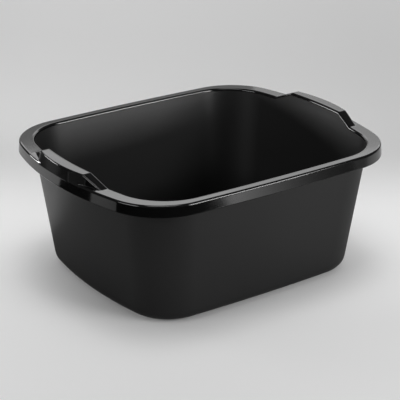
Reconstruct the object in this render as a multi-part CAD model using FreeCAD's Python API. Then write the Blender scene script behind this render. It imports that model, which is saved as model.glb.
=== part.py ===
import FreeCAD, Part
import math
import os

# One-piece moulded washing up bowl, +Z up, standing on z = 0 with its long sides along X.
# The origin is the middle of the footprint, on the table.

# Rim, seen from above: overall size, corner radius and how far each side bows out
rim_length = 390.0
rim_width = 320.0
rim_corner_radius = 72.0
rim_long_bow = 6.0
rim_short_bow = 32.0

# Width of the rim round the mouth, along the long sides and at the short ends
rim_side_width = 12.0
rim_end_width = 19.5

# Mouth of the basin, inside its wall
mouth_corner_radius = 63.0
mouth_long_bow = 5.5
mouth_short_bow = 25.0

# How far the basin's long sides and short ends lean outwards between the foot of the wall and the mouth
side_lean = 18.3
end_lean = 20.2

# Outside of the basin at the foot of its straight wall, above the rounding of its lower edge
base_corner_radius = 55.0
base_long_bow = 5.5
base_short_bow = 17.6

# Heights above the table
rim_height = 158.0
foot_height = 2.0

# Thicknesses
wall_thickness = 1.9
floor_thickness = 2.1
rim_thickness = 2.5
skirt_thickness = 1.9

# Rounding of the basin's lower edge: how far it reaches in from the wall, and how high it climbs
rounding_reach = 14.0
rounding_height = 12.2

# Edges of the rim
rim_outer_radius = 2.3
rim_inner_bevel = 1.0
skirt_bevel = 0.6

# Skirt that the rim turns down into: how deep it hangs, and how far it spreads outwards on the way
skirt_depth = 13.6
skirt_flare = 1.0

# Ring that the bowl stands on
foot_width = 6.0
foot_inset = 2.7

# Handles, raised out of the rim on the short ends
handle_rise = 11.0
handle_top_length = 91.0
handle_slope_length = 26.5
handle_face_radius = 185.0
handle_face_inset = 0.6
handle_face_lean = 2.0
handle_edge_bevel = 1.4
handle_bend = 0.8

# Counts of bands that make up the straight wall, the rounding below it and the rounding of the rim's edge
wall_bands = 4
rounding_bands = 4
rim_bands = 2

# Reach of cutting shapes past what they cut, and slack for picking faces and edges by their height
overrun = 20.0
level_slack = 0.05

rim_under = rim_height - rim_thickness
skirt_bottom = rim_height - skirt_depth
handle_top = rim_height + handle_rise
handle_foot_length = handle_top_length + 2 * handle_slope_length
floor_top = foot_height + floor_thickness
wall_foot = foot_height + rounding_height
basin_top = handle_top + overrun

UP = FreeCAD.Vector(0, 0, 1)

# Pieces of the basin's wall, one for each arc of its outline, anticlockwise from the front
WALL_PIECES = (
    "front_wall",
    "front_right_corner",
    "right_wall",
    "rear_right_corner",
    "rear_wall",
    "rear_left_corner",
    "left_wall",
    "front_left_corner",
)


def point(x, y, z=0.0):
    return FreeCAD.Vector(x, y, z)


class Plan:
    """Rounded rectangle with bowed sides, drawn from eight arcs that run smoothly into each other."""

    def __init__(self, length, width, corner, long_bow, short_bow):
        self.sizes = (length, width, corner, long_bow, short_bow)
        self.half_length = length / 2
        self.half_width = width / 2
        self.corner = corner
        long_radius = (self.half_length ** 2 + long_bow ** 2) / (2 * long_bow)
        short_radius = (self.half_width ** 2 + short_bow ** 2) / (2 * short_bow)
        self.long_centre = point(0, long_radius - self.half_width)
        self.short_centre = point(self.half_length - short_radius, 0)
        self.corner_centre = self.place_corner(long_radius - corner, short_radius - corner)

    def place_corner(self, from_long, from_short):
        """Centre of the front right corner arc, at given distances from the centres of the side arcs."""
        span = self.short_centre - self.long_centre
        along = (from_long ** 2 - from_short ** 2 + span.Length ** 2) / (2 * span.Length)
        across = math.sqrt(from_long ** 2 - along ** 2)
        axis = span / span.Length
        return self.long_centre + axis * along + point(-axis.y, axis.x) * across

    def arcs(self, z, inset=0.0):
        """Start, middle and end of the arcs at height z, moved inwards by inset, as in WALL_PIECES."""
        start = (self.corner_centre - self.long_centre).normalize()
        end = (self.corner_centre - self.short_centre).normalize()
        middle = (start + end).normalize()
        corner = [self.corner_centre + way * (self.corner - inset) for way in (start, middle, end)]
        front = point(0, inset - self.half_width)
        right = point(self.half_length - inset, 0)
        ring = [front] + corner + [right]
        ring += [point(p.x, -p.y) for p in ring[-2:0:-1]]
        ring += [-p for p in ring]
        ring = [point(p.x, p.y, z) for p in ring]
        return [(ring[i - 1], ring[i], ring[i + 1]) for i in range(0, len(ring), 2)]

    def wire(self, z, inset=0.0):
        """Closed outline at height z, moved inwards all round by inset."""
        return Part.Wire([Part.Arc(*arc).toShape() for arc in self.arcs(z, inset)])

    def prism(self, low, high, inset=0.0):
        return Part.Face(self.wire(low, inset)).extrude(UP * (high - low))


mouth_length = rim_length - 2 * rim_end_width + 2 * wall_thickness
mouth_width = rim_width - 2 * rim_side_width + 2 * wall_thickness
base_length = mouth_length - 2 * end_lean
base_width = mouth_width - 2 * side_lean

rim_plan = Plan(rim_length, rim_width, rim_corner_radius, rim_long_bow, rim_short_bow)
mouth_plan = Plan(
    mouth_length, mouth_width, mouth_corner_radius + wall_thickness, mouth_long_bow, mouth_short_bow
)
base_plan = Plan(base_length, base_width, base_corner_radius, base_long_bow, base_short_bow)


def basin_plan(z):
    """Outline of the basin's outside at height z, on straight walls from the base to the mouth."""
    rise_share = (z - wall_foot) / (rim_height - wall_foot)
    pairs = zip(base_plan.sizes, mouth_plan.sizes)
    return Plan(*(low + (high - low) * rise_share for low, high in pairs))


def is_level(shape, z):
    """Whether a face or edge lies flat at height z."""
    box = shape.BoundBox
    return abs(box.ZMin - z) < level_slack and abs(box.ZMax - z) < level_slack


def level_edges(shape, z):
    return [edge for edge in shape.Edges if is_level(edge, z)]


def block(x_low, x_high, y_low, y_high, z_low, z_high):
    return Part.makeBox(x_high - x_low, y_high - y_low, z_high - z_low, point(x_low, y_low, z_low))


def basin_block(inset):
    """Solid with the slope of the basin's walls, from under the rim up past the handles."""
    sections = [basin_plan(z).wire(z, inset) for z in (rim_under, basin_top)]
    return Part.makeLoft(sections, True, True)


outside = basin_block(0)
inside = basin_block(wall_thickness)


def make_floor():
    return base_plan.prism(foot_height, floor_top, rounding_reach)


def make_foot_ring():
    outer_inset = rounding_reach + foot_inset
    ring = base_plan.prism(0, foot_height, outer_inset)
    return ring.cut(base_plan.prism(0, foot_height, outer_inset + foot_width))


def make_rounding(number):
    """Rounded lower edge of one side or corner of the basin, turned about the centre of its arc."""
    arc = base_plan.arcs(0)[number]
    edge = Part.Arc(*arc).toShape()
    centre = edge.Curve.Center
    inwards = (centre - arc[0]).normalize()

    def place(inset, z):
        return arc[0] + inwards * inset + UP * z

    def bend(low_z, high_inset):
        """Points along the rounding, which leaves the floor level and climbs to the straight wall."""
        reach = rounding_reach - high_inset
        climb = wall_foot - low_z
        radius = (reach ** 2 + climb ** 2) / (2 * climb)
        points = []
        for band in range(rounding_bands + 1):
            turn = 2 * math.atan2(climb, reach) * band / rounding_bands
            inset = rounding_reach - radius * math.sin(turn)
            points.append(place(inset, low_z + radius - radius * math.cos(turn)))
        return points

    outer = bend(foot_height, 0)
    inner = bend(floor_top, wall_thickness)
    profile = Part.Face(Part.makePolygon(outer + inner[::-1] + outer[:1]))
    turn = edge.LastParameter - edge.FirstParameter
    return profile.revolve(centre, UP, math.degrees(turn))


def make_straight_wall(number):
    """Sloping wall of one side or corner of the basin, up to the rim."""
    sections = []
    for band in range(wall_bands + 1):
        z = wall_foot + (rim_under - wall_foot) * band / wall_bands
        plan = basin_plan(z)
        outer = plan.arcs(z)[number]
        inner = plan.arcs(z, wall_thickness)[number]
        sections.append(Part.Wire([
            Part.Arc(*outer).toShape(),
            Part.makeLine(outer[-1], inner[-1]),
            Part.Arc(*reversed(inner)).toShape(),
            Part.makeLine(inner[0], outer[0]),
        ]))
    return Part.makeLoft(sections, True, True)


def make_wall_piece(number):
    return make_rounding(number).fuse(make_straight_wall(number))


def handle_profile(drop, bottom):
    """Side view of the raised grip, lowered by drop, with its slopes carried on down to bottom."""
    slope = math.atan2(handle_rise, handle_slope_length)
    top = handle_top_length / 2 - drop * math.tan(slope / 2)
    high = handle_top - drop
    half = [
        (top + (high - bottom) / math.tan(slope), bottom),
        (top + handle_bend * math.cos(slope), high - handle_bend * math.sin(slope)),
        (top - handle_bend, high),
    ]
    sides = half + [(-y, z) for y, z in reversed(half)]
    wire = Part.makePolygon([point(0, y, z) for y, z in sides + sides[:1]])
    return Part.Face(wire).extrude(point(rim_length, 0))


def handle_face(inset):
    """Cone whose side is the handle's outer face, bowed more than the rim and leaning inwards."""
    lean_share = handle_face_lean / handle_rise
    radius = handle_face_radius - inset
    bottom = skirt_bottom - overrun
    low_radius = radius + lean_share * (rim_height - bottom)
    high_radius = radius - lean_share * (basin_top - rim_height)
    centre = rim_length / 2 - handle_face_inset - handle_face_radius
    return Part.makeCone(low_radius, high_radius, basin_top - bottom, point(centre, 0, bottom))


def make_grip():
    """Solid form of the right grip, over the mouth as well, bevelled along its outer edge."""
    grip = handle_profile(0, rim_under).common(handle_face(0))
    edges = [edge for face in grip.Faces if isinstance(face.Surface, Part.Cone) for edge in face.Edges]
    edges = [edge for edge in edges if edge.BoundBox.ZMax > rim_height + level_slack]
    return grip.makeChamfer(handle_edge_bevel, edges)


def make_hollow():
    """Space under the right grip, between the basin's wall and the skirt."""
    hollow = handle_profile(rim_thickness, skirt_bottom - overrun).common(handle_face(skirt_thickness))
    return hollow.common(rim_plan.prism(0, basin_top, skirt_thickness)).cut(outside)


def make_plate():
    """Flat plate of the rim, over the mouth as well, rounded along its outer edge."""
    levels = [(rim_under, 0)]
    for band in range(rim_bands + 1):
        turn = math.pi / 2 * band / rim_bands
        rise = rim_outer_radius * math.sin(turn)
        inset = rim_outer_radius - rim_outer_radius * math.cos(turn)
        levels.append((rim_height - rim_outer_radius + rise, inset))
    return Part.makeLoft([rim_plan.wire(z, inset) for z, inset in levels], True, True)


def make_rim():
    """Rim all round the mouth with both raised grips, before its inner edge is bevelled."""
    grip = make_grip()
    return make_plate().fuse([grip, mirrored(grip)]).cut(inside).removeSplitter()


def lines_mouth(face):
    """Whether a face of the rim is part of the upright lining of the mouth."""
    u_low, u_high, v_low, v_high = face.ParameterRange
    middle = face.valueAt((u_low + u_high) / 2, (v_low + v_high) / 2)
    is_flat = isinstance(face.Surface, Part.Plane)
    return not is_flat and Part.Vertex(middle).distToShape(inside)[0] < level_slack


def bevel_mouth(piece):
    """Bevel the upper edges of the mouth's lining."""
    edges = [edge for face in piece.Faces if lines_mouth(face) for edge in face.Edges]
    upper = [edge for edge in edges if edge.BoundBox.ZMin > rim_under + level_slack]
    return piece.makeChamfer(rim_inner_bevel, upper)


def skirt_block(inset):
    """Solid with the slope of the skirt's outer face, moved inwards by inset."""
    sections = [rim_plan.wire(skirt_bottom, inset - skirt_flare), rim_plan.wire(rim_under, inset)]
    return Part.makeLoft(sections, True, True)


def make_skirt():
    """Lip that hangs from the outer edge of the rim, bevelled on its lower outer edge."""
    drum = skirt_block(0)
    drum = drum.makeChamfer(skirt_bevel, level_edges(drum, skirt_bottom))
    return drum.cut(skirt_block(skirt_thickness))


def make_right_handle(rim, skirt):
    """Raised hollow grip with the stretch of rim and skirt that carries it."""
    half = handle_foot_length / 2
    stretch = block(0, rim_length, -half, half, 0, basin_top)
    handle = bevel_mouth(rim.common(stretch)).fuse(skirt.common(stretch))
    return handle.cut(make_hollow()).removeSplitter()


def mirrored(shape):
    return shape.mirror(point(0, 0), point(1, 0))


def main():
    half = handle_foot_length / 2
    in_front = block(-rim_length, rim_length, -rim_width, -half, 0, basin_top)
    behind = block(-rim_length, rim_length, half, rim_width, 0, basin_top)
    rim = make_rim()
    skirt = make_skirt()
    pieces = {"floor": make_floor(), "foot_ring": make_foot_ring()}
    for number, name in enumerate(WALL_PIECES):
        pieces[name] = make_wall_piece(number)
    pieces["front_rim"] = bevel_mouth(rim.common(in_front))
    pieces["rear_rim"] = bevel_mouth(rim.common(behind))
    pieces["front_skirt"] = skirt.common(in_front)
    pieces["rear_skirt"] = skirt.common(behind)
    pieces["right_handle"] = make_right_handle(rim, skirt)
    pieces["left_handle"] = mirrored(pieces["right_handle"])
    os.makedirs("parts", exist_ok=True)
    for name, shape in pieces.items():
        print(name, shape.isValid(), round(shape.Volume), len(shape.Solids))
        shape.exportStep(os.path.join("parts", name + ".step"))


main()
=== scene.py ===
import math

import bmesh
import bpy
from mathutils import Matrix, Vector


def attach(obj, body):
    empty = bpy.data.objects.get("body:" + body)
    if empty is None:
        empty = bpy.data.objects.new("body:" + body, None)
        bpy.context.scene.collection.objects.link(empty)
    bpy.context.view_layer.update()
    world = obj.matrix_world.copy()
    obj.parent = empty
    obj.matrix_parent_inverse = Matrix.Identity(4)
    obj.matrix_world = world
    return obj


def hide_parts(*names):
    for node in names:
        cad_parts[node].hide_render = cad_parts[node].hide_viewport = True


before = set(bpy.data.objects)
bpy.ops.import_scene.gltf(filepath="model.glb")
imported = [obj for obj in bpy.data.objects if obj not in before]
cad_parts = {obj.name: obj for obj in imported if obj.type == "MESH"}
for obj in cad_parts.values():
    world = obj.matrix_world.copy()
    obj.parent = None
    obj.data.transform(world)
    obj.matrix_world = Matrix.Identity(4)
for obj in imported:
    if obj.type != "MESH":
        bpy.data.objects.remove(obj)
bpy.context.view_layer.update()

# Washing up bowl: a satin basin and a polished rim with raised handles, each drawn ring by ring.
# The bowl's own lengths are in millimetres, as in the solids. The studio's are in metres.
MM = 0.001

# Rim, seen from above, and its width round the mouth along the long sides and at the short ends
RIM_LENGTH = 390.0
RIM_WIDTH = 320.0
RIM_SIDE = 12.0
RIM_END = 19.5

# How far the basin's long sides and short ends lean outwards
SIDE_LEAN = 18.3
END_LEAN = 20.2

# Thicknesses
WALL = 1.9
FLOOR = 2.1
RIM = 2.5
SKIRT = 1.9

# Rounding of the basin's lower edge: how far it reaches in from the wall, and how high it climbs
ROUNDING_REACH = 14.0
ROUNDING_HEIGHT = 12.2

# Heights above the table
RIM_HEIGHT = 158.0
FOOT_HEIGHT = 2.0
FLOOR_TOP = FOOT_HEIGHT + FLOOR
WALL_FOOT = FOOT_HEIGHT + ROUNDING_HEIGHT

# Skirt that the rim turns down into: how deep it hangs, and how far it spreads on the way
SKIRT_DEPTH = 13.6
SKIRT_FLARE = 1.0
SKIRT_BOTTOM = RIM_HEIGHT - SKIRT_DEPTH

# Rounded edges of the rim and skirt
OUTER_EDGE = 2.3
INNER_EDGE = 2.3
SKIRT_EDGE = 0.8

# How far below the top the polished rim ends, and the hair's breadth between it and the satin basin
LIP = 3.2
LIP_GAP = 0.02

# Handles: flat top, slopes at its ends and the soft bends between them
HANDLE_RISE = 11.0
HANDLE_TOP = 91.0
HANDLE_SLOPE = 26.5
HANDLE_BEND = 0.9
TOP_HALF = HANDLE_TOP / 2
FOOT_HALF = TOP_HALF + HANDLE_SLOPE
SHOULDER = 20.0

# Outer face of the handles: its curve, how it leans in, its rounded upper edge
FACE_RADIUS = 185.0
FACE_CENTRE = 9.4
FACE_LEAN = 2.0 / HANDLE_RISE
HANDLE_EDGE = 1.7
LEAST_EDGE = 0.4
EDGE_SHARE = 0.55

# Along the handle's middle its face runs on into the skirt, and further out a ledge parts them
FLUSH_HALF = 40.0
FLUSH_END = 52.0

# Hollow line between the handle's face and the ledge
OPEN_LEDGE = 2.0
CREASE_SHARE = 0.35
CREASE_RISE = 0.12
CREASE_RUN = 0.4

# Ring that the bowl stands on, with its small edges
FOOT_INSET = 2.7
FOOT_WIDTH = 6.0
FOOT_EDGE = 0.5
FOOT_EDGE_RISE = 0.4
FOOT_TAPER = 0.1
FOOT_OUTER = ROUNDING_REACH + FOOT_INSET
FOOT_INNER = FOOT_OUTER + FOOT_WIDTH

# A ring this far from a rounded edge keeps the flat beside it flat
SUPPORT = 0.5
SUPPORT_SHARE = 0.06


def between(low, high, share):
    return low + (high - low) * share


def clamp(value, low=0.0, high=1.0):
    return max(low, min(high, value))


class Outline:
    """Rounded rectangle with bowed sides: arcs for the long sides, the short ends and the corners."""

    def __init__(self, length, width, corner, long_bow, short_bow):
        self.sizes = (length, width, corner, long_bow, short_bow)
        self.corner = corner
        self.long_radius = ((length / 2) ** 2 + long_bow ** 2) / (2 * long_bow)
        self.short_radius = ((width / 2) ** 2 + short_bow ** 2) / (2 * short_bow)
        self.long_centre = Vector((0, width / 2 - self.long_radius))
        self.short_centre = Vector((length / 2 - self.short_radius, 0))
        from_long = self.long_radius - corner
        from_short = self.short_radius - corner
        span = self.short_centre - self.long_centre
        along = (from_long ** 2 - from_short ** 2 + span.length_squared) / (2 * span.length)
        across = math.sqrt(from_long ** 2 - along ** 2)
        axis = span.normalized()
        self.corner_centre = self.long_centre + axis * along + Vector((axis.y, -axis.x)) * across

    def place(self, station, inset=0.0):
        """Point at a station of the rear right quarter, moved inwards by inset."""
        stretch, value = station
        if stretch in ("handle", "shoulder"):
            radius = self.short_radius - inset
            way = (self.corner_centre - self.short_centre).normalized()
            y = value if stretch == "handle" else between(FOOT_HALF, way.y * radius, value)
            return Vector((self.short_centre.x + math.sqrt(radius ** 2 - y ** 2), y))
        if stretch == "corner":
            start = (self.corner_centre - self.short_centre).normalized()
            end = (self.corner_centre - self.long_centre).normalized()
            turn = between(math.atan2(start.y, start.x), math.atan2(end.y, end.x), value)
            return self.corner_centre + Vector((math.cos(turn), math.sin(turn))) * (self.corner - inset)
        radius = self.long_radius - inset
        way = (self.corner_centre - self.long_centre).normalized()
        x = between(way.x * radius, 0.0, value)
        return Vector((x, self.long_centre.y + math.sqrt(radius ** 2 - x ** 2)))


mouth_length = RIM_LENGTH - 2 * RIM_END + 2 * WALL
mouth_width = RIM_WIDTH - 2 * RIM_SIDE + 2 * WALL
base_length = mouth_length - 2 * END_LEAN
base_width = mouth_width - 2 * SIDE_LEAN
rim_outline = Outline(RIM_LENGTH, RIM_WIDTH, corner=72.0, long_bow=6.0, short_bow=32.0)
mouth_outline = Outline(mouth_length, mouth_width, corner=63.0 + WALL, long_bow=5.5, short_bow=25.0)
base_outline = Outline(base_length, base_width, corner=55.0, long_bow=5.5, short_bow=17.6)


def wall_outline(z):
    """Outside of the basin's wall at height z."""
    share = (z - WALL_FOOT) / (RIM_HEIGHT - WALL_FOOT)
    pairs = zip(base_outline.sizes, mouth_outline.sizes)
    return Outline(*(between(low, high, share) for low, high in pairs))


# Stations round the outline, closer together where the handles bend
HANDLE_STATIONS = (
    0, 6, 12, 18, 24, 30, 35, 39, 42, 43.8, 44.6, 45.05, 45.5, 45.95, 46.4, 47.2,
    49, 52, 55, 58, 61, 63.5, 65.5, 67, 68.2, 69.2, 70, 70.6, 71.1, 71.55, 72,
)
SHOULDER_STATIONS = (0.03, 0.07, 0.15, 0.3, 0.5, 0.75)
CORNER_STEPS = 26
LONG_STEPS = 12
QUARTER = [("handle", y) for y in HANDLE_STATIONS]
QUARTER += [("shoulder", share) for share in SHOULDER_STATIONS]
QUARTER += [("corner", step / CORNER_STEPS) for step in range(CORNER_STEPS)]
QUARTER += [("long", step / LONG_STEPS) for step in range(LONG_STEPS + 1)]
STATIONS = [(station, 1, 1) for station in QUARTER[:-1]]
STATIONS += [(station, -1, 1) for station in reversed(QUARTER[1:])]
STATIONS += [(station, -1, -1) for station in QUARTER[:-1]]
STATIONS += [(station, 1, -1) for station in reversed(QUARTER[1:])]


def handle_height(station):
    """How far the handle stands above the rim at a station."""
    stretch, y = station
    if stretch == "shoulder":
        y = between(FOOT_HALF, FOOT_HALF + SHOULDER, y)
    elif stretch != "handle":
        return 0.0
    fall = HANDLE_RISE / HANDLE_SLOPE
    if y < TOP_HALF - HANDLE_BEND:
        return HANDLE_RISE
    if y < TOP_HALF + HANDLE_BEND:
        return HANDLE_RISE - fall * (y - TOP_HALF + HANDLE_BEND) ** 2 / (4 * HANDLE_BEND)
    if y < FOOT_HALF - HANDLE_BEND:
        return fall * (FOOT_HALF - y)
    if y < FOOT_HALF + HANDLE_BEND:
        return fall * (FOOT_HALF + HANDLE_BEND - y) ** 2 / (4 * HANDLE_BEND)
    return 0.0


def top_height(station):
    return RIM_HEIGHT + handle_height(station)


def raised(place, z):
    return Vector((place.x, place.y, z))


def wall_ring(inset, z):
    """Ring on the basin's wall at height z."""
    outline = wall_outline(z)
    return lambda station: raised(outline.place(station, inset), z)


def below_top_ring(inset, drop):
    """Ring on the basin's wall that follows the top of the rim and handles, lower by drop."""
    def place(station):
        z = top_height(station) - drop
        return raised(wall_outline(z).place(station, inset), z)
    return place


def base_ring(inset, z):
    """Ring on the floor, the rounded lower edge or the foot."""
    return lambda station: raised(base_outline.place(station, inset), z)


def skirt_ring(inset, z):
    """Ring on the skirt, which spreads outwards on its way down."""
    spread = SKIRT_FLARE * clamp((RIM_HEIGHT - RIM - z) / (RIM_HEIGHT - RIM - SKIRT_BOTTOM))
    return lambda station: raised(rim_outline.place(station, inset - spread), z)


def face_reach(y, z, inset=0.0):
    """How far out the handle's outer face is at height z."""
    radius = FACE_RADIUS - inset - FACE_LEAN * (z - RIM_HEIGHT)
    return FACE_CENTRE + math.sqrt(radius ** 2 - y ** 2)


def across_rim(station, share, z):
    """Point on the flat of the rim away from the handles, by its share of the width."""
    flat_start = WALL - 2.0
    inner = wall_outline(RIM_HEIGHT).place(station, flat_start)
    outer = rim_outline.place(station, OUTER_EDGE)
    return raised(inner.lerp(outer, share), z)


def ledge_width(y):
    """Width of the flat left between the handle's face and the rounded outer edge of the rim."""
    return rim_outline.place(("handle", y), OUTER_EDGE).x - face_reach(y, RIM_HEIGHT)


def handle_edge_ring(turn, back, share):
    """Ring on the rounded upper edge of the handle's face, turned down from its flat top."""
    def place(station):
        stretch, y = station
        if stretch != "handle":
            return across_rim(station, share, RIM_HEIGHT)
        rise = handle_height(station)
        drop = min(HANDLE_EDGE, EDGE_SHARE * rise)
        reach = max(LEAST_EDGE, drop)
        z = RIM_HEIGHT + rise - drop * (1 - math.cos(turn))
        x = face_reach(y, RIM_HEIGHT + rise - drop) - reach * (1 - math.sin(turn)) - back
        return Vector((x, y, z))
    return place


def flush_share(y):
    """1 in the middle of the handle, where its face runs on into the skirt, and 0 where the ledge is."""
    share = clamp((FLUSH_END - y) / (FLUSH_END - FLUSH_HALF))
    return share * share * (3 - 2 * share)


def flush_reach(station, z):
    """How far out a face is that runs straight from the handle's upper edge down to the skirt."""
    top = top_height(station) - HANDLE_EDGE
    bottom = RIM_HEIGHT - OUTER_EDGE
    reach = face_reach(station[1], top)
    return between(rim_outline.place(station).x, reach, clamp((z - bottom) / (top - bottom)))


def crease_ring(out, up, share):
    """Ring in the hollow where the handle's face meets the ledge of the rim."""
    def place(station):
        stretch, y = station
        if stretch != "handle":
            return across_rim(station, share, RIM_HEIGHT)
        rise = handle_height(station)
        open_share = clamp(ledge_width(y) / OPEN_LEDGE)
        low_share = 1 - clamp(rise)
        lift = up * open_share + CREASE_RISE * share * (1 - open_share)
        z = RIM_HEIGHT + min(CREASE_SHARE * rise, lift)
        x = face_reach(y, z) + out * open_share + CREASE_RUN * share * low_share
        return Vector((between(x, flush_reach(station, z), flush_share(y)), y, z))
    return place


def rim_edge_ring(turn):
    """Ring on the rounded outer edge of the rim, which the handle's face covers in the middle."""
    low_handle = 1.0
    clear_of_face = 0.01

    def place(station):
        z = RIM_HEIGHT - OUTER_EDGE * (1 - math.cos(turn))
        spot = rim_outline.place(station, OUTER_EDGE * (1 - math.sin(turn)))
        if station[0] == "handle" and handle_height(station) > low_handle:
            spot.x = max(spot.x, face_reach(station[1], z) + clear_of_face)
            spot.x = between(spot.x, flush_reach(station, z), flush_share(station[1]))
        return raised(spot, z)
    return place


def mid_ring(first, second, share):
    """Ring part of the way from one ring to another, which keeps a face flat up to its rounded edge."""
    return lambda station: first(station).lerp(second(station), share)


def hollow_ring(back, raised_share, share):
    """Ring on the inside of the handle's face, under the rim."""
    def place(station):
        stretch, y = station
        z = RIM_HEIGHT - RIM + handle_height(station) * raised_share
        if stretch != "handle":
            return across_rim(station, share, z)
        return Vector((face_reach(y, z, SKIRT) - back, y, z))
    return place


def bend(reach, climb, steps):
    """Run in and height of points along a rounding that leaves the floor level and climbs to the wall."""
    radius = (reach ** 2 + climb ** 2) / (2 * climb)
    whole = 2 * math.atan2(climb, reach)
    turns = [whole * step / steps for step in range(steps + 1)]
    return [(reach - radius * math.sin(turn), radius - radius * math.cos(turn)) for turn in turns]


def quarter_turns(steps):
    """Turns from 0 to a right angle, for the rings of a rounded edge."""
    return [math.pi / 2 * step / steps for step in range(steps + 1)]


def start_piece(name):
    """A circle whose points are the stations of the outline, ready to be drawn into rings."""
    bpy.ops.object.select_all(action="DESELECT")
    bpy.ops.mesh.primitive_circle_add(vertices=len(STATIONS), radius=RIM_WIDTH / 2 * MM)
    piece = bpy.context.object
    piece.name = name
    piece.data.name = name
    numbers = piece.data.attributes.new("station", "INT", "POINT")
    numbers.data.foreach_set("value", range(len(STATIONS)))
    bpy.ops.object.mode_set(mode="EDIT")
    bpy.ops.mesh.select_all(action="SELECT")
    return piece


def set_ring(piece, ring):
    """Move the selected loop to its place on a ring."""
    mesh = bmesh.from_edit_mesh(piece.data)
    number = mesh.verts.layers.int["station"]
    for vertex in mesh.verts:
        if vertex.select:
            station, side_x, side_y = STATIONS[vertex[number]]
            spot = ring(station)
            vertex.co = Vector((spot.x * side_x, spot.y * side_y, spot.z)) * MM
    bmesh.update_edit_mesh(piece.data)


def draw_rings(piece, rings):
    """Extrude the selected loop from ring to ring."""
    set_ring(piece, rings[0])
    for ring in rings[1:]:
        bpy.ops.mesh.extrude_region_move()
        set_ring(piece, ring)


def end_piece(piece, material, nodes):
    """Close the seams, smooth the piece and set it in the frame in place of its solids."""
    bpy.ops.mesh.select_all(action="SELECT")
    bpy.ops.mesh.remove_doubles(threshold=0.002 * MM)
    bpy.ops.mesh.select_all(action="SELECT")
    bpy.ops.mesh.normals_make_consistent(inside=False)
    bpy.ops.object.mode_set(mode="OBJECT")
    piece.data.attributes.remove(piece.data.attributes["station"])
    bpy.ops.object.shade_smooth_by_angle(angle=math.radians(40))
    piece.data.materials.append(material)
    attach(piece, "root")
    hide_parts(*nodes)


def foot_rings():
    """Rings down the outside of the standing ring, across its face and up its inside."""
    step_top = FOOT_HEIGHT - FOOT_EDGE_RISE
    return [
        base_ring(FOOT_OUTER - FOOT_EDGE, FOOT_HEIGHT),
        base_ring(FOOT_OUTER, step_top),
        base_ring(FOOT_OUTER + FOOT_TAPER, FOOT_EDGE_RISE),
        base_ring(FOOT_OUTER + FOOT_EDGE, 0),
        base_ring(FOOT_INNER - FOOT_EDGE, 0),
        base_ring(FOOT_INNER - FOOT_TAPER, FOOT_EDGE_RISE),
        base_ring(FOOT_INNER, step_top),
        base_ring(FOOT_INNER + FOOT_EDGE, FOOT_HEIGHT),
    ]


def make_basin(material):
    """Basin with its floor, rounded lower edge, walls and standing ring, as one closed shell."""
    piece = start_piece("basin")
    bend_steps = 9
    floor_insets = (40, 22, 16)
    underside_insets = (30, 40)
    wall_heights = (15.5, 40, 70, 100, 125, 140)
    top = LIP + LIP_GAP
    under_top = LIP + 2
    inner_bend = bend(ROUNDING_REACH - WALL, WALL_FOOT - FLOOR_TOP, bend_steps)
    outer_bend = bend(ROUNDING_REACH, WALL_FOOT - FOOT_HEIGHT, bend_steps)
    rings = [base_ring(inset, FLOOR_TOP) for inset in floor_insets]
    rings += [base_ring(WALL + run, FLOOR_TOP + rise) for run, rise in inner_bend]
    rings += [wall_ring(WALL, z) for z in wall_heights]
    rings += [below_top_ring(WALL, under_top)]
    rings += [below_top_ring(inset, top) for inset in (WALL, WALL / 2, 0)]
    rings += [below_top_ring(0, under_top)]
    rings += [wall_ring(0, z) for z in reversed(wall_heights)]
    rings += [base_ring(run, FOOT_HEIGHT + rise) for run, rise in reversed(outer_bend)]
    rings += foot_rings()
    rings += [base_ring(inset, FOOT_HEIGHT) for inset in underside_insets]
    draw_rings(piece, rings)
    # The last ring closes the underside, and the first one, still open, closes the floor
    bpy.ops.mesh.edge_face_add()
    bpy.ops.mesh.select_all(action="DESELECT")
    bpy.ops.mesh.select_non_manifold(extend=False)
    bpy.ops.mesh.edge_face_add()
    walls = ("front_wall", "rear_wall", "left_wall", "right_wall")
    corners = ("front_left_corner", "front_right_corner", "rear_left_corner", "rear_right_corner")
    end_piece(piece, material, ("floor", "foot_ring") + walls + corners)


def mouth_rings():
    """Rings up from the lip and over the rounded inner edge."""
    rings = [below_top_ring(WALL, LIP), below_top_ring(WALL, INNER_EDGE + SUPPORT)]
    for turn in quarter_turns(5):
        inset = WALL - INNER_EDGE * (1 - math.cos(turn))
        rings.append(below_top_ring(inset, INNER_EDGE * (1 - math.sin(turn))))
    rings.append(below_top_ring(WALL - INNER_EDGE - SUPPORT, 0))
    return rings


def top_rings():
    """Rings across the top, down the handles' faces, over the ledge and round the outer edge."""
    rings = [handle_edge_ring(0, back=0.6, share=0.36)]
    for step, turn in enumerate(quarter_turns(5)):
        rings.append(handle_edge_ring(turn, back=0, share=0.38 + 0.02 * step))
    crease = [
        crease_ring(out=0, up=0.5, share=0.51),
        crease_ring(out=0.12, up=0.12, share=0.54),
        crease_ring(out=0.5, up=0, share=0.57),
    ]
    edge = [rim_edge_ring(turn) for turn in quarter_turns(7)]
    face_top = rings[-1]
    rings += [mid_ring(face_top, crease[0], share) for share in (SUPPORT_SHARE, 1 - SUPPORT_SHARE)]
    rings += crease
    rings.append(mid_ring(crease[-1], edge[0], 1 - SUPPORT_SHARE))
    return rings + edge


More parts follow.
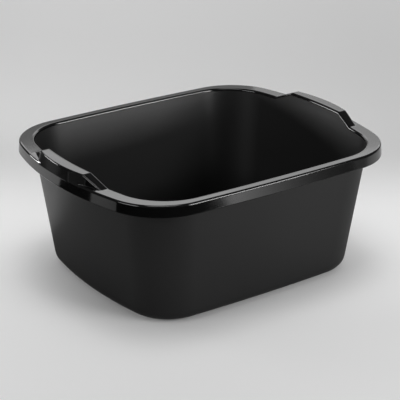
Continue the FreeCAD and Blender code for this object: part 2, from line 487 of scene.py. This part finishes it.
def skirt_rings():
    """Rings down the outside of the skirt, round its lower edge and up its inside."""
    inner_edge = 0.4
    near_rim = 0.6
    fillet = 0.3
    rings = [skirt_ring(0, RIM_HEIGHT - OUTER_EDGE - near_rim)]
    rings.append(skirt_ring(0, SKIRT_BOTTOM + SKIRT_EDGE + SUPPORT))
    for turn in quarter_turns(4):
        z = SKIRT_BOTTOM + SKIRT_EDGE * (1 - math.sin(turn))
        rings.append(skirt_ring(SKIRT_EDGE * (1 - math.cos(turn)), z))
    rings.append(skirt_ring(SKIRT - inner_edge, SKIRT_BOTTOM))
    rings.append(skirt_ring(SKIRT, SKIRT_BOTTOM + inner_edge))
    rings.append(skirt_ring(SKIRT, RIM_HEIGHT - RIM - near_rim))
    rings.append(skirt_ring(SKIRT + fillet, RIM_HEIGHT - RIM))
    return rings


def hollow_rings():
    """Rings up inside the handles, back under the rim and round its joint with the basin's wall."""
    return [
        hollow_ring(back=0.3, raised_share=0, share=0.6),
        hollow_ring(back=0.5, raised_share=0.08, share=0.57),
        hollow_ring(back=0.6, raised_share=0.92, share=0.54),
        hollow_ring(back=1.2, raised_share=1, share=0.5),
        below_top_ring(0, RIM),
        below_top_ring(WALL / 2, RIM),
        below_top_ring(WALL / 2, LIP),
        below_top_ring(WALL, LIP),
    ]


def make_rim(material):
    """Rim with its turned down skirt and both raised hollow handles, as one closed tube."""
    piece = start_piece("rim")
    draw_rings(piece, mouth_rings() + top_rings() + skirt_rings() + hollow_rings())
    rims = ("front_rim", "rear_rim", "front_skirt", "rear_skirt", "left_handle", "right_handle")
    end_piece(piece, material, rims)


class Link:
    """A node's output. Sums and products of links and numbers add Math nodes to the same material."""

    def __init__(self, tree, socket=None):
        self.tree = tree
        self.socket = socket

    def node(self, kind, settings, sockets, output=0):
        """Add a node, set its settings, then set or link its sockets, and give one of its outputs."""
        made = self.tree.nodes.new("ShaderNode" + kind)
        for name, value in settings.items():
            setattr(made, name, value)
        for name, value in sockets.items():
            if isinstance(value, Link):
                self.tree.links.new(value.socket, made.inputs[name])
            else:
                made.inputs[name].default_value = value
        return Link(self.tree, made.outputs[output]) if made.outputs else None

    def math(self, operation, first, second):
        return self.node("Math", {"operation": operation}, {0: first, 1: second})

    def __add__(self, other):
        return self.math("ADD", self, other)

    def __radd__(self, other):
        return self.math("ADD", other, self)

    def __rsub__(self, other):
        return self.math("SUBTRACT", other, self)

    def __mul__(self, other):
        return self.math("MULTIPLY", self, other)

    def __rmul__(self, other):
        return self.math("MULTIPLY", other, self)


def new_material(name):
    material = bpy.data.materials.new(name)
    material.use_nodes = True
    material.node_tree.nodes.clear()
    return material, Link(material.node_tree)


def object_place(link):
    return link.node("TexCoord", {}, {}, "Object")


def noise(link, place, scale, detail=2.0, roughness=0.5):
    return link.node("TexNoise", {}, {
        "Vector": place, "Scale": scale, "Detail": detail, "Roughness": roughness,
    })


def grey(link, low, high, share):
    """Grey between two levels, by a share that changes over the surface."""
    level = low + (high - low) * share
    return link.node("CombineColor", {}, {"Red": level, "Green": level, "Blue": level})


def finish_plastic(link, colour, roughness, index, height, distance):
    """Plastic with its gloss and fine relief: distance in metres is the height of the relief."""
    bump = link.node("Bump", {}, {"Strength": 1.0, "Distance": distance, "Height": height})
    shader = link.node("BsdfPrincipled", {}, {
        "Base Color": colour, "Roughness": roughness, "IOR": index, "Normal": bump,
    })
    link.node("OutputMaterial", {}, {"Surface": shader})


def make_satin():
    """Satin black polypropylene with a fine spark-eroded grain and faint flow marks."""
    material, link = new_material("satin_black_plastic")
    place = object_place(link)
    cloud = noise(link, place, scale=9.0, detail=3.0)
    grain = noise(link, place, scale=900.0, detail=3.0, roughness=0.6)
    speck = noise(link, place, scale=2600.0)
    colour = grey(link, 0.010, 0.013, cloud * 0.7 + grain * 0.3)
    roughness = 0.33 + 0.08 * cloud + 0.06 * grain
    relief = grain * 0.7 + speck * 0.3
    finish_plastic(link, colour, roughness, index=1.45, height=relief, distance=0.04 * MM)
    return material


def make_gloss():
    """Polished black polypropylene, with the slight waviness and haze of a moulded rim."""
    material, link = new_material("gloss_black_plastic")
    place = object_place(link)
    wave = noise(link, place, scale=40.0, detail=1.0)
    haze = noise(link, place, scale=420.0, detail=3.0, roughness=0.6)
    colour = grey(link, 0.002, 0.004, wave * 0.5 + haze * 0.5)
    roughness = 0.05 + 0.04 * haze + 0.015 * wave
    relief = wave * 0.8 + haze * 0.03
    finish_plastic(link, colour, roughness, index=1.5, height=relief, distance=0.03 * MM)
    return material


# Camera, from the photograph: turned from the front, raised, and far enough away for a long lens
CAMERA_TURN = math.radians(-35.208)
CAMERA_RISE = math.radians(22.589)
CAMERA_DISTANCE = 1.658765
LENS = 124.11
SENSOR = 36.0

# Point that the camera looks at: its height over the table, and small moves across the picture
AIM_HEIGHT = 0.072
AIM_RIGHT = 0.0006
AIM_UP = 0.00667

towards_camera = Vector((math.sin(CAMERA_TURN), -math.cos(CAMERA_TURN), 0.0))
camera_right = Vector((math.cos(CAMERA_TURN), math.sin(CAMERA_TURN), 0.0))
towards_lens = towards_camera * math.cos(CAMERA_RISE) + Vector((0, 0, math.sin(CAMERA_RISE)))
camera_up = towards_lens.cross(camera_right)


def make_camera():
    aim = Vector((0, 0, AIM_HEIGHT)) + camera_right * AIM_RIGHT + camera_up * AIM_UP
    bpy.ops.object.camera_add(location=aim + towards_lens * CAMERA_DISTANCE)
    camera = bpy.context.object
    camera.rotation_euler = towards_lens.to_track_quat("Z", "Y").to_euler()
    camera.data.sensor_width = SENSOR
    camera.data.lens = LENS
    camera.data.clip_end = 50.0
    bpy.context.scene.camera = camera


# Pale floor, with painted light: a painted pool of light behind the bowl's middle, a painted fall of light
# from left to right, and painted shade close to the bowl
LIGHT_POOL_BEHIND = 0.11
LIGHT_POOL_HALF = 0.03
LIGHT_POOL_END = 0.29
PALE_LIFT = 0.125
LIGHT_POOL_LIFT = 0.165
LIGHT_FALL_HALF = 0.3
LIGHT_FALL_LEFT = 0.04
LIGHT_FALL_RIGHT = -0.03
CONTACT_SHADE_REACH = 0.06


def distance_along(link, place, way):
    """How far a place lies along a level direction."""
    return link.node("VectorMath", {"operation": "DOT_PRODUCT"}, {0: place, 1: way}, "Value")


def make_floor_paint():
    """Pale grey studio floor, with a little more light of its own in the picture and in reflections: a
    painted pool and fall of light, and painted shade near the bowl.
    """
    material, link = new_material("pale_floor")
    place = object_place(link)
    cloud = noise(link, place, scale=1.2)
    seen = link.node("LightPath", {}, {}, "Is Camera Ray") + link.node("LightPath", {}, {}, "Is Glossy Ray")
    seen = seen + link.node("LightPath", {}, {}, "Is Transmission Ray")
    # Painted pool of light: a band behind the bowl's middle gets more of the floor's own light and a paler
    # colour
    from_painted_light_pool = link.math("ABSOLUTE", distance_along(link, place, towards_camera) + LIGHT_POOL_BEHIND, 0.0)
    painted_light_pool = link.node("MapRange", {"interpolation_type": "SMOOTHSTEP"}, {
        "Value": from_painted_light_pool, "From Min": LIGHT_POOL_HALF, "From Max": LIGHT_POOL_END, "To Min": 1.0, "To Max": 0.0,
    })
    # Painted fall of light: the floor's own light is painted a little stronger on the left and weaker on
    # the right
    fall = link.node("MapRange", {}, {
        "Value": distance_along(link, place, camera_right), "From Min": -LIGHT_FALL_HALF, "From Max": LIGHT_FALL_HALF,
        "To Min": LIGHT_FALL_LEFT, "To Max": LIGHT_FALL_RIGHT,
    })
    # Painted contact shade: occlusion turns the floor's own light down close to the bowl, so the floor is
    # painted darker round its foot
    clear = link.node("AmbientOcclusion", {"samples": 8}, {"Distance": CONTACT_SHADE_REACH}, "AO")
    lift = (PALE_LIFT + LIGHT_POOL_LIFT * painted_light_pool + fall) * clear
    # The painted pool of light also makes the floor's colour paler, on top of its random cloudy tone
    shader = link.node("BsdfPrincipled", {}, {
        "Base Color": grey(link, 0.70, 0.74, cloud + painted_light_pool), "Roughness": 0.9, "Specular IOR Level": 0.0,
        "Emission Color": grey(link, 0.0, 1.0, seen * lift), "Emission Strength": 1.0,
    })
    link.node("OutputMaterial", {}, {"Surface": shader})
    return material


def make_card_paint(name, level):
    material, link = new_material(name)
    shader = link.node("BsdfDiffuse", {}, {"Color": (level, level, level, 1)})
    link.node("OutputMaterial", {}, {"Surface": shader})
    return material


def make_glow():
    """Light of a low panel that fades along its length and depth."""
    material, link = new_material("panel_glow")
    place = object_place(link)
    right = link.node("SeparateXYZ", {}, {"Vector": place}, "X")
    far = link.node("SeparateXYZ", {}, {"Vector": place}, "Y")
    glow = 0.1 + 4.6 * (0.5 - right) * (0.5 - right) * (0.5 - far)
    shader = link.node("BsdfPrincipled", {}, {
        "Base Color": (0, 0, 0, 1), "Specular IOR Level": 0.0,
        "Emission Color": grey(link, 0.0, 1.0, glow), "Emission Strength": 1.0,
    })
    link.node("OutputMaterial", {}, {"Surface": shader})
    return material


# Painted reflections: the cards show only in reflections, where black and grey cards paint darker
# reflections than the floor, the pale card a paler one, and the glow panel a lit panel
# Cards that lie on the floor: name, paint, middle to the right and towards the camera, width, depth, lift
UPPER = 0.002
LOWER = 0.001
CARDS = (
    ("front_card", "black", 0.0, 1.96, 1.0, 3.0, UPPER),
    ("front_left_card", "black", -1.5, 1.79, 2.0, 3.0, UPPER),
    ("left_card", "black", -1.55, 0.0425, 2.0, 0.185, UPPER),
    ("far_left_card", "black", -2.4, 0.15, 3.0, 0.7, UPPER),
    ("front_right_card", "black", 1.41, 1.895, 1.98, 3.0, UPPER),
    ("right_panel", "glow", 0.66, 0.286, 0.4, 0.212, UPPER),
    ("left_grey_card", "grey", -0.215, 0.205, 0.77, 0.53, LOWER),
    ("right_card", "grey", 1.66, -0.2, 1.8, 0.8, LOWER),
    ("far_rear_card", "grey", -2.2, -1.6, 3.0, 2.8, LOWER),
    ("right_pale_card", "pale", 0.34, 0.1, 0.42, 0.74, LOWER),
)

# Soft boxes: name, turn from the camera's side, rise, width, height, brightness, distance and beam
NEAR = 1.7
FAR = 1.9
OPEN = 180
LOUVRE = 110
GRID = 76
LAMPS = (
    ("top_lamp", 0, 86, 0.8, 0.8, 4.0, NEAR, OPEN),
    ("right_low_lamp", 58, 6.5, 0.78, 0.25, 27.0, NEAR, GRID),
    ("right_high_lamp", 61, 23.5, 0.9, 0.24, 15.0, NEAR, LOUVRE),
    ("left_lamp", -53, 23.5, 0.96, 0.27, 10.0, NEAR, LOUVRE),
    ("left_rear_lamp", -113, 6.3, 0.54, 0.245, 20.0, NEAR, GRID),
    ("rear_floor_lamp", 180, 7, 2.6, 0.332, 0.8, FAR, OPEN),
    ("rear_low_lamp", 197.6, 17.7, 1.45, 0.378, 0.42, FAR, OPEN),
    ("rear_mid_lamp", 180, 24.15, 2.6, 0.09, 1.6, FAR, OPEN),
    ("rear_right_lamp", 158, 18, 1.15, 0.332, 1.05, FAR, OPEN),
    ("rear_high_lamp", 180, 29.75, 2.6, 0.282, 1.95, FAR, OPEN),
)
LAMP_AIM = Vector((0, 0, 0.1))

# Side of the floor, which lies a hair below the foot, and the level of the room's own light
STUDIO_SIDE = 9.0
STUDIO_DROP = 0.0001
ROOM = 0.1


def beam_share(half):
    """Share of an open lamp's power that a grid leaves, when light fades to nothing at half its beam."""
    inside = math.sin(half) ** 2 / 2
    faded = (half / 2 - math.sin(2 * half) / 4) / math.tan(half)
    return 2 * (inside - faded)


def make_lamp(name, turn, rise, width, height, brightness, distance, beam):
    """Soft box that faces the bowl and shows at its brightness in a mirror."""
    turn = math.radians(turn)
    rise = math.radians(rise)
    way = towards_camera * math.cos(turn) + camera_right * math.sin(turn)
    way = way * math.cos(rise) + Vector((0, 0, math.sin(rise)))
    bpy.ops.object.light_add(type="AREA", location=LAMP_AIM + way * distance)
    lamp = bpy.context.object
    lamp.name = name
    lamp.rotation_euler = way.to_track_quat("Z", "Y").to_euler()
    lamp.data.shape = "RECTANGLE"
    lamp.data.size = width
    lamp.data.size_y = height
    lamp.data.energy = math.pi * width * height * brightness
    if beam < OPEN:
        lamp.data.spread = math.radians(beam)
        lamp.data.energy *= beam_share(math.radians(beam) / 2)
    lamp.visible_camera = False


def make_card(name, material, right, near, width, depth, lift):
    """Card on the floor that shows only in reflections, where it paints a darker, paler or glowing
    reflection.
    """
    bpy.ops.object.select_all(action="DESELECT")
    spot = camera_right * right + towards_camera * near + Vector((0, 0, lift))
    bpy.ops.mesh.primitive_plane_add(size=1.0, location=spot)
    card = bpy.context.object
    card.name = name
    card.scale = (width, depth, 1.0)
    card.rotation_euler.z = CAMERA_TURN
    card.visible_camera = False
    card.visible_diffuse = False
    card.visible_shadow = False
    card.data.materials.append(material)


def make_studio():
    """Pale floor, cards for the reflections, soft lamps above, at both sides and behind, and a dim room."""
    bpy.ops.object.select_all(action="DESELECT")
    bpy.ops.mesh.primitive_plane_add(size=STUDIO_SIDE, location=(0, 0, -STUDIO_DROP))
    floor = bpy.context.object
    floor.name = "studio_floor"
    floor.data.materials.append(make_floor_paint())
    paints = {
        "black": make_card_paint("black_card", 0.01),
        "glow": make_glow(),
        "grey": make_card_paint("grey_card", 0.3),
        "pale": make_card_paint("pale_card", 0.42),
    }
    for name, paint, *layout in CARDS:
        make_card(name, paints[paint], *layout)
    for lamp in LAMPS:
        make_lamp(*lamp)
    world = bpy.data.worlds.new("studio")
    world.use_nodes = True
    world.node_tree.nodes["Background"].inputs["Color"].default_value = (ROOM, ROOM, ROOM, 1)
    bpy.context.scene.world = world


make_basin(make_satin())
make_rim(make_gloss())
make_camera()
make_studio()
bpy.context.scene.view_settings.view_transform = "Standard"
